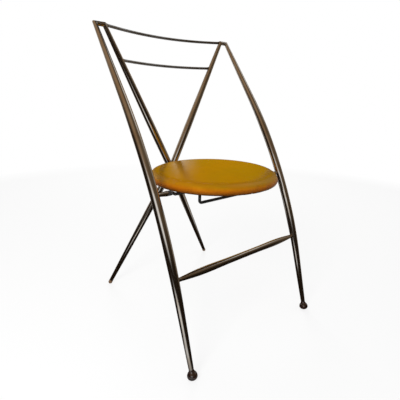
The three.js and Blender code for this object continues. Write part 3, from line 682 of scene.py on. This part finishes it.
# Adds the mitred elbow at the start of a path that begins at a top corner.
def withElbow(path, radii, side):
    jointAcross = side * (chair["jointHalfWidth"] - chair["jointGap"])
    jointEnd = place(jointAcross, chair["hingeDepth"], chair["hingeHeight"])
    return np.vstack([jointEnd, path]), np.insert(radii, 0, rear["topRadius"])

# Half a tube, which narrows where its end is welded inside the whole one.
def halfTube(start):
    path = np.linspace(start, crossing, rear["halfSteps"])
    radii = rearRadii(path)
    radii[-1] *= rear["weldShare"]
    return path, radii

# One tube runs whole from the top left to the bottom right, the other is two halves.
def makeRearTubes():
    pinBore = (pin["bore"], pin["boreDepth"])
    plugBore = (plugs["stemRadius"] + plugs["gap"], plugs["stemLength"])
    count = ringPoints["tube"]
    path = bentPath(rearTop(-1), crossing, rearTubeEnd(1), rear["bend"], rear["bendSteps"],
                    rear["straightSteps"])
    whole = bored(sweptRings(*withElbow(path, rearRadii(path), -1), backward, count), *plugBore)
    upper = sweptRings(*withElbow(*halfTube(rearTop(1)), 1), backward, count)
    lower = sweptRings(*halfTube(rearTubeEnd(-1)), backward, count)
    tubes = [("Long", whole, pinBore), ("Upper", upper, pinBore), ("Lower", lower, plugBore)]
    for end, rings, bore in tubes:
        piece = softenEdges(skin("rearTube" + end, boredStart(rings, *bore)), *softEdge["tube"])
        fit(piece, chrome, "rear_frame", "rear_tube_" + end.lower())

# A half ball, then a short cylinder with a rounded shoulder and a stem, turned about the tube's axis
# and pressed flat where it meets the floor.
def makePlug(label, side):
    radius, edge, head = plugs["radius"], plugs["edge"], plugs["headLength"]
    below = np.linspace(plugs["tipAngle"], math.pi / 2, plugs["headRings"])
    profile = np.vstack([
        np.stack([np.sin(below), -np.cos(below)], axis=-1) * radius,
        quarterArc((radius - edge, head - edge), edge, 0, 1),
        np.add((plugs["stemRadius"], head), plugs["stemRoot"]),
        np.add((plugs["stemRadius"], head + plugs["stemLength"]), plugs["stemTip"])])
    rings = turnedRings(profile, plugMiddle(side), rearFootUp(side))
    rings[..., 2] = np.maximum(rings[..., 2], 0)
    piece = skin("rearPlug" + label, rings, sharpAngle=sharp["turned"])
    fit(piece, tanPlastic, "rear_frame", "rear_plug_" + label.lower())

# Of each rail its bow back, its drop and the radius of the tube that it ends in.
rails = {
    "radius": 0.0039, "fillet": 0.0010, "spacing": 0.0845, "rings": 121,
    "top": (0.0323, 0.0053, 0.0061), "second": (0.0218, 0.0037, 0.0084),
}

# The middle line is a parabola: one less the square of the share across, times the bow and the drop.
def makeRail(name, end):
    bow, drop, tubeRadius = rails[name]
    share = np.linspace(-1, 1, rails["rings"])
    sag = 1 - share ** 2
    path = end * [0, 1, 1] + np.stack([share * end[0], bow * sag, -drop * sag], axis=-1)
    lengths = runLength(path)
    distance = np.minimum(lengths, lengths[-1] - lengths) - tubeRadius
    radii = rails["radius"] + filletRadius(distance, rails["fillet"])
    piece = skin(name + "Rail", sweptRings(path, radii, np.array([0, drop, bow]), ringPoints["rod"]))
    fit(piece, railChrome, "rear_frame", name + "_rail")

makeRearTubes()
for label, side in sides.items():
    makePlug(label, side)
down = rails["spacing"] / (chair["hingeHeight"] - chair["crossingHeight"])
makeRail("top", rearTop(1))
makeRail("second", rearTop(1) + (crossing - rearTop(1)) * down)
print("rear frame made")

# Hinge hardware that keeps its CAD shape

plain = {
    "hinge_lug_left": chrome, "hinge_lug_right": chrome, "seat_pin": zinc, "frame_pin_left": zinc,
    "frame_pin_right": zinc, "frame_washer_left": blackPlastic, "frame_washer_right": blackPlastic,
    "hinge_strap": blackSteel, "strap_screw_1": zinc, "strap_screw_2": zinc, "strap_screw_3": zinc,
    "rod_keeper_left": blackPlastic, "rod_keeper_right": blackPlastic,
    "keeper_screw_left": zinc, "keeper_screw_right": zinc, "seat_board": board,
}
for name, material in plain.items():
    paint(frame["nodes"][name].data, material)

# Seat cushion

seat = {
    "radius": 0.185, "boardRadius": 0.166, "boardThickness": 0.010, "gap": 0.0003, "edgeHeight": 0.0256,
    "lowerRound": 0.0084, "upperRound": 0.0168, "upperWidth": 0.027, "crown": 0.0034,
    "edgeRings": 12, "topRings": 40, "core": 0.002, "coreShare": 0.01,
    "shrink": 0.0004, "voxel": 0.0045, "pressure": 4.0, "stiffness": 25, "bendingStiffness": 2.5,
    "frames": 20, "cap": 0.0028, "freeHeight": (0.012, 0.018), "freeRadius": (0.168, 0.176),
    "pleatWaves": [(47, 0.4, 0.45), (31, 1.9, 0.35), (73, 4.0, 0.2)], "pleatDepth": 0.0009,
    "pleatHeight": 0.003, "pleatSpread": 0.006, "pleatFade": 0.008,
    "tuckCompass": 262, "tuckDepth": 0.0022, "tuckSpread": 1.2,
}
seatLook = {
    "ochre": (0.38, 0.158, 0.0003, 1), "olive": (0.325, 0.166, 0.0005, 1), "amber": (0.37, 0.118, 0.0004, 1),
    # The rim colour and the one below it are painted shade on the cushion's side, darkest at its lower edge;
    # the worn colour also paints shade in the wrinkles' folds.
    "rim": (0.46, 0.116, 0.0004, 1), "rimWorn": (0.23, 0.055, 0.001, 1), "hem": (0.065, 0.015, 0.001, 1),
    "rimTop": 0.0220, "rimBottom": 0.0110, "hemTop": 0.0160, "hemBottom": 0.003,
    "edgeTop": 0.0295, "edgeBottom": 0.0240, "driftScale": 5.0,
    "mottleScale": 38.0, "mottleRange": (0.35, 0.7), "mottleShade": 0.35, "mottleRoughness": 0.05,
    "rubScale": 26.0, "rubEdge": 0.55, "rubShade": 0.35, "rubRoughness": -0.06,
    "grainScale": 620.0, "grainEdge": 0.16, "grainBump": 0.16, "grainDepth": 0.00012,
    "wanderScale": 240.0, "wander": 0.0012, "valleyRoughness": 0.10,
    "wrinkleScales": (26.0, 60.0, 40.0), "wrinkleWidth": 0.035, "topWrinkles": 0.12, "rimWrinkles": 0.7,
    "wrinkleShade": 0.45, "wrinkleBump": -0.35, "wrinkleDepth": 0.0003,
    "roughness": 0.11, "edgeRoughness": 0.26, "gloss": 0.85, "shine": (1.0, 0.66, 0.12, 1),
}
seatCentre = place(0, chair["seatDepth"], chair["seatBottom"])
leather = leatherMaterial(seatLook, seatCentre)

# Outline of the cushion from the recess of the board, round the lower edge and an upper edge that is wider
# than high, to the top. The crown rises as one less the square of the share of the radius.
def cushionProfile(shrink):
    quarter = np.linspace(0, math.pi / 2, seat["edgeRings"])
    radius = seat["radius"] - shrink
    inner = seat["boardRadius"] + seat["gap"]
    recess = seat["boardThickness"] + seat["gap"]
    recessWall = [(seat["core"], recess), (inner / 2, recess), (inner, recess), (inner, recess / 2),
                  (inner, 0)]
    lower = np.stack([radius - seat["lowerRound"] * (1 - np.sin(quarter)),
                      seat["lowerRound"] * (1 - np.cos(quarter))], axis=-1)
    top = seat["edgeHeight"] - shrink
    upper = np.stack([radius - seat["upperWidth"] * (1 - np.cos(quarter)),
                      top - seat["upperRound"] * (1 - np.sin(quarter))], axis=-1)
    share = np.linspace(1, seat["coreShare"], seat["topRings"])[1:]
    crown = np.stack([(radius - seat["upperWidth"]) * share, np.full(len(share), top)], axis=-1)
    for face in (upper, crown):
        face[:, 1] += seat["crown"] * (1 - (face[:, 0] / radius) ** 2)
    return np.vstack([recessWall, lower, upper, crown])

def evaluated(piece):
    return piece.evaluated_get(bpy.context.evaluated_depsgraph_get())

# A voxel remesh of the blank, as a new mesh with even faces.
def remeshed(blank):
    blank.modifiers.new("even faces", "REMESH").voxel_size = seat["voxel"]
    mesh = bpy.data.meshes.new_from_object(evaluated(blank))
    bpy.data.objects.remove(blank)
    mesh.name = "seatPad"
    return linked("seatPad", mesh)

def readVectors(mesh, attribute="co"):
    values = np.empty(len(mesh.vertices) * 3, dtype=np.float32)
    mesh.vertices.foreach_get(attribute, values)
    return values.reshape(-1, 3).astype(float)

def movePoints(mesh, points):
    mesh.vertices.foreach_set("co", points.astype(np.float32).ravel())

# Blown up like a bag by Cloth; what comes back is where the points went.
def inflated(piece):
    cloth = piece.modifiers.new("leather cover", "CLOTH")
    settings = cloth.settings
    settings.use_pressure = True
    settings.uniform_pressure_force = seat["pressure"]
    settings.effector_weights.gravity = 0
    settings.tension_stiffness = seat["stiffness"]
    settings.compression_stiffness = seat["stiffness"]
    settings.bending_stiffness = seat["bendingStiffness"]
    cloth.point_cache.frame_end = seat["frames"]
    for frameNumber in range(1, seat["frames"] + 1):
        bpy.context.scene.frame_set(frameNumber)
    swollen = readVectors(evaluated(piece).data)
    piece.modifiers.remove(cloth)
    bpy.context.scene.frame_set(1)
    return swollen

# How far each point goes outwards is capped, and fades to nothing where the cover lies against the board.
def cappedMove(mesh, rest, swollen):
    outward = readVectors(mesh, "normal")
    local = rest - seatCentre
    (low, high), (near, far) = seat["freeHeight"], seat["freeRadius"]
    aboveBoard = (local[:, 2] - low) / (high - low)
    besideBoard = (np.linalg.norm(local[:, :2], axis=1) - near) / (far - near)
    free = np.clip(np.maximum(aboveBoard, besideBoard), 0, 1)
    swell = np.einsum("ij,ij->i", swollen - rest, outward)
    return outward * (free * np.clip(swell, 0, seat["cap"]))[:, None]

# Small pleats where the leather is drawn under the edge: waves round the rim, summed from three counts and
# sharpened by a cube, deepest at the lower edge, and one deeper tuck at the front.
def pleated(points):
    local = points - seatCentre
    around = np.arctan2(local[:, 1], local[:, 0])
    waves = sum(np.cos(count * around + start) * share for count, start, share in seat["pleatWaves"])
    edge = np.exp(-((local[:, 2] - seat["pleatHeight"]) / seat["pleatSpread"]) ** 2)
    rim = np.clip((np.linalg.norm(local[:, :2], axis=1) - seat["boardRadius"]) / seat["pleatFade"], 0, 1)
    turn = np.degrees(around) - seat["tuckCompass"]
    tuck = np.exp(-((turn + 180) % 360 - 180) ** 2 / seat["tuckSpread"])
    depth = (seat["pleatDepth"] * (0.5 + 0.5 * waves) ** 3 + seat["tuckDepth"] * tuck) * edge * rim
    outward = unit(local * [1, 1, 0] + [1e-9, 0, 0])
    return points - outward * depth[:, None]

def makeCushion():
    rings = turnedRings(cushionProfile(seat["shrink"]), seatCentre, (0, 0, 1), ringPoints["cushion"])
    piece = remeshed(skin("blank", rings, sharpAngle=sharp["cushion"]))
    moved = rest = readVectors(piece.data)
    moved = rest + cappedMove(piece.data, rest, inflated(piece))
    moved[:, 2] = np.maximum(moved[:, 2], seatCentre[2])
    movePoints(piece.data, moved)
    piece.modifiers.new("finer", "SUBSURF").levels = 1
    fine = bpy.data.meshes.new_from_object(evaluated(piece))
    piece.modifiers.clear()
    piece.data = fine
    movePoints(fine, pleated(readVectors(fine)))
    fine.update()
    fine.shade_smooth()
    return piece

cushion = fit(makeCushion(), leather, "seat", "seat_pad")
print("seat made")

# Floor, light and camera

floorLook = {"reach": 6.0, "colour": (0.93, 0.93, 0.93, 1), "fade": (0.7, 2.4), "white": 0.8}

# A white floor that keeps the chair's shadow near it and turns into the backdrop's plain white far off.
def makeFloor(look):
    reach = look["reach"]
    mesh = bpy.data.meshes.new("floor")
    mesh.from_pydata([(-reach, -reach, 0), (reach, -reach, 0), (reach, reach, 0), (-reach, reach, 0)],
                     [], [(0, 1, 2, 3)])
    material, tree = emptyMaterial("white floor")
    coordinates = tree.node("ShaderNodeTexCoord").outputs["Object"]
    distance = tree.node("ShaderNodeVectorMath", {0: coordinates}, operation="LENGTH").outputs["Value"]
    far = tree.ramp(distance, *look["fade"])
    fade = tree.maths("MAXIMUM", far, tree.times(tree.seenWhite(), look["white"]))
    tree.glowOver(fade, tree.node("ShaderNodeBsdfDiffuse", {"Color": look["colour"]}), (1, 1, 1, 1))
    paint(mesh, material)
    linked("floor", mesh)

# The screens of the studio, which only reflections meet: brown and dark, as the room in the photograph,
# with openings through which the metal shows the white floor and backdrop. Each patch is a compass
# direction and a height above the horizon, their half widths, all in degrees as seen from the seat, and
# a colour, or how far it is open.
surround = {
    "reach": 2.8, "eyeHeight": 0.3, "dark": (0.016, 0.010, 0.006), "darkReach": 0.3, "fadeReach": 0.2,
    "floorGap": 0.002, "floorRings": 40, "innermost": 0.02, "crowding": 1.5, "domeRings": 60, "domeTop": 89,
    "screens": [
        (180, 58, 80, 32, (0.33, 0.22, 0.13)), (292, 55, 60, 38, (0.13, 0.092, 0.055)),
        (112, 32, 28, 22, (0.42, 0.36, 0.29)), (345, 8, 22, 42, (0.16, 0.115, 0.075)),
        (3, 5, 19, 40, (0.42, 0.38, 0.33)), (50, 18, 22, 17, (0.62, 0.34, 0.006)),
    ],
    "openings": [
        (220, 19, 22, 13, 1.0), (218, -20, 18, 7, 0.9), (94, 0, 14, 30, 0.85),
        (100, -32, 20, 8, 0.6), (0, -34, 34, 8, 0.6), (356, 56, 26, 14, 0.8), (57, 12, 2, 4, 0.8),
        (223, -34, 14, 8, 0.8),
    ],
}

# Each patch fades out as exp(-u^4 - v^4), with u and v the distances from its middle in half widths, and
# the floor right under the chair stays dark.
def surroundColours(points):
    ways = points - [0, 0, surround["eyeHeight"]]
    compass = np.degrees(np.arctan2(ways[:, 1], ways[:, 0]))
    rise = np.degrees(np.arctan2(ways[:, 2], np.linalg.norm(ways[:, :2], axis=1)))
    clear = np.clip((np.linalg.norm(points, axis=1) - surround["darkReach"]) / surround["fadeReach"], 0, 1)

    def weight(middle, height, halfWidth, halfHeight):
        turn = (compass - middle + 180) % 360 - 180
        return (clear * np.exp(-(turn / halfWidth) ** 4 - ((rise - height) / halfHeight) ** 4))[:, None]

    colours = np.tile(surround["dark"], (len(points), 1))
    cover = np.ones((len(points), 1))
    for *patch, colour in surround["screens"]:
        colours += (np.array(colour) - colours) * weight(*patch)
    for *patch, share in surround["openings"]:
        cover *= 1 - share * weight(*patch)
    return np.hstack([colours, cover])

# A sheet on the floor, then a dome, as rings from the middle of the floor to the top.
def makeSurround():
    reach = surround["reach"]
    shares = np.linspace(surround["innermost"], 1, surround["floorRings"]) ** surround["crowding"]
    rises = np.radians(np.linspace(0, surround["domeTop"], surround["domeRings"]))[1:]
    profile = np.vstack([
        np.stack([shares * reach, np.full(len(shares), surround["floorGap"])], axis=-1),
        np.stack([np.cos(rises), np.sin(rises)], axis=-1) * reach])
    room = skin("surround", turnedRings(profile, (0, 0, 0), (0, 0, 1), ringPoints["surround"]))
    colours = surroundColours(readVectors(room.data))
    glow = room.data.color_attributes.new("glow", "FLOAT_COLOR", "POINT")
    glow.data.foreach_set("color", colours.ravel())
    material, tree = emptyMaterial("surround")
    painted = tree.node("ShaderNodeAttribute", attribute_name="glow").outputs
    tree.glowOver(painted["Alpha"], tree.node("ShaderNodeBsdfTransparent"), painted["Color"])
    paint(room.data, material)
    for rays in ("camera", "diffuse", "shadow", "transmission"):
        setattr(room, "visible_" + rays, False)

# The world lights at this level, and rays that see it see white.
worldLevel = 0.46

def makeWorld(level):
    world = bpy.data.worlds.new("studio")
    bpy.context.scene.world = world
    world.use_nodes = True
    tree = Tree(world.node_tree)
    colour = tree.mix(tree.seenWhite(), (level, level, level, 1), (1, 1, 1, 1))
    tree.feed(world.node_tree.nodes["Background"], {"Color": colour})

# Square soft lamps that look at the chair's middle: place, side length and power.
lampTarget = (0, 0, 0.4)
lamps = {
    "key": ((-1.25, -0.62, 1.15), 0.6, 16),
    "fill": ((2.2, -0.6, 1.6), 1.2, 3),
    "back": ((1.3, 2.1, 2.2), 1.2, 34),
}

def makeLamp(name, position, size, power):
    lamp = bpy.data.lights.new(name, "AREA")
    lamp.size = size
    lamp.energy = power
    holder = linked(name, lamp)
    holder.location = position
    holder.rotation_euler = (Vector(lampTarget) - Vector(position)).to_track_quat("-Z", "Y").to_euler()
    holder.visible_glossy = False
    holder.visible_camera = False

# The camera stands where the photograph was taken from. Its angles are radians.
view = {"place": (-0.5893, -0.4710, 0.6485), "turn": -0.6712, "tilt": -0.3119, "roll": 0.0217,
        "lens": 28.32, "sensorWidth": 36}

def makeCamera():
    turn, tilt, roll = view["turn"], view["tilt"], view["roll"]
    ahead = np.array([-math.sin(turn) * math.cos(tilt), math.cos(turn) * math.cos(tilt), math.sin(tilt)])
    right = np.array([math.cos(turn), math.sin(turn), 0])
    upward = np.cross(right, ahead)
    rolledRight = math.cos(roll) * right + math.sin(roll) * upward
    rolledUp = -math.sin(roll) * right + math.cos(roll) * upward
    turned = Matrix(np.stack([rolledRight, rolledUp, -ahead], axis=1).tolist())
    data = bpy.data.cameras.new("camera")
    data.lens = view["lens"]
    data.sensor_width = view["sensorWidth"]
    camera = linked("camera", data)
    camera.matrix_world = Matrix.Translation(Vector(place(*view["place"]))) @ turned.to_4x4()
    bpy.context.scene.camera = camera

makeFloor(floorLook)
makeSurround()
makeWorld(worldLevel)
for name, values in lamps.items():
    makeLamp(name, *values)
makeCamera()
bpy.context.scene.view_settings.view_transform = "Standard"
print("stage made")
